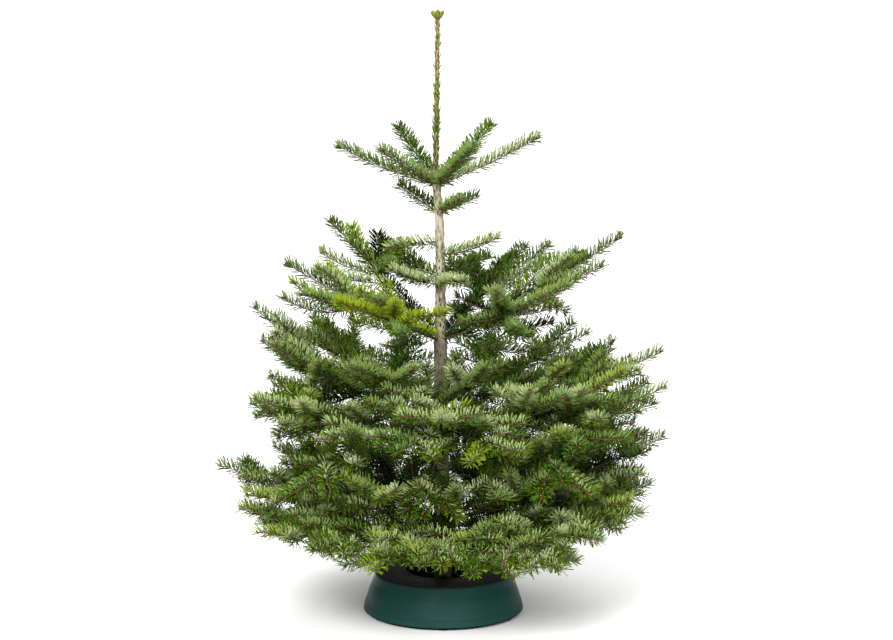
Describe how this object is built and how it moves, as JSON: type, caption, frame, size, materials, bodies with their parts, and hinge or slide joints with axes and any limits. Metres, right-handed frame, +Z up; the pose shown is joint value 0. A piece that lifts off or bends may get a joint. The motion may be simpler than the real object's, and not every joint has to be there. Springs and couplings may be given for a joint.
{
  "type": "cut fir christmas tree in a stand",
  "caption": "Young cut fir with a long leader and open whorls of boughs, held upright by clamp jaws in a round water stand.",
  "frame": {"origin": "middle of the flat underside of the stand, on the floor", "axes": "+Z up along the trunk, -Y the front, +X to the right seen from the front"},
  "size_m": [1.013, 0.8401, 1.3471],
  "materials": {
    "trunk_bark": "smooth young fir bark, grey brown low down and pale tan above, with green streaks",
    "bough_bark": "thin brown twig bark",
    "needles": "waxy fir needles, deep green above and pale silvery green below",
    "bright_needles": "waxy fir needles of a yellower green",
    "green_plastic": "dark green moulded plastic, satin with a fine grain",
    "grey_plastic": "charcoal grey moulded plastic, satin",
    "black_plastic": "black moulded plastic"
  },
  "bodies": {
    "root": {"between_left_foliage": "needles", "between_lower_foliage": "needles", "between_middle_foliage": "needles", "between_right_foliage": "needles", "between_upper_foliage": "needles", "leader_foliage": "needles", "stand_base": "black_plastic", "stand_collar": "grey_plastic", "stand_housing": "green_plastic", "stand_jaw_1": "black_plastic", "stand_jaw_2": "black_plastic", "stand_jaw_3": "black_plastic", "stand_well": "black_plastic", "trunk": "trunk_bark", "whorl1_back_left_foliage": "needles", "whorl1_back_right_foliage": "needles", "whorl1_front_left_foliage": "needles", "whorl1_front_right_foliage": "needles", "whorl1_left_foliage": "needles", "whorl1_right_foliage": "needles", "whorl2_back_left_foliage": "needles", "whorl2_back_left_limb": "bough_bark", "whorl2_back_right_foliage": "needles", "whorl2_back_right_limb": "bough_bark", "whorl2_front_left_foliage": "bright_needles", "whorl2_front_left_limb": "bough_bark", "whorl2_front_right_foliage": "needles", "whorl2_front_right_limb": "bough_bark", "whorl2_left_foliage": "needles", "whorl2_left_limb": "bough_bark", "whorl2_right_foliage": "needles", "whorl2_right_limb": "bough_bark", "whorl3_back_left_foliage": "needles", "whorl3_back_left_limb": "bough_bark", "whorl3_back_right_foliage": "needles", "whorl3_back_right_limb": "bough_bark", "whorl3_front_foliage": "needles", "whorl3_front_left_foliage": "needles", "whorl3_front_left_limb": "bough_bark", "whorl3_front_limb": "bough_bark", "whorl3_front_right_foliage": "needles", "whorl3_front_right_limb": "bough_bark", "whorl3_left_foliage": "needles", "whorl3_left_limb": "bough_bark", "whorl3_right_foliage": "needles", "whorl3_right_limb": "bough_bark", "whorl4_back_left_foliage": "needles", "whorl4_back_left_limb": "bough_bark", "whorl4_back_right_foliage": "needles", "whorl4_back_right_limb": "bough_bark", "whorl4_front_foliage": "needles", "whorl4_front_left_foliage": "needles", "whorl4_front_left_limb": "bough_bark", "whorl4_front_limb": "bough_bark", "whorl4_front_right_foliage": "needles", "whorl4_front_right_limb": "bough_bark", "whorl4_left_foliage": "needles", "whorl4_left_limb": "bough_bark", "whorl4_right_foliage": "needles", "whorl4_right_limb": "bough_bark"}
  },
  "joints": []
}
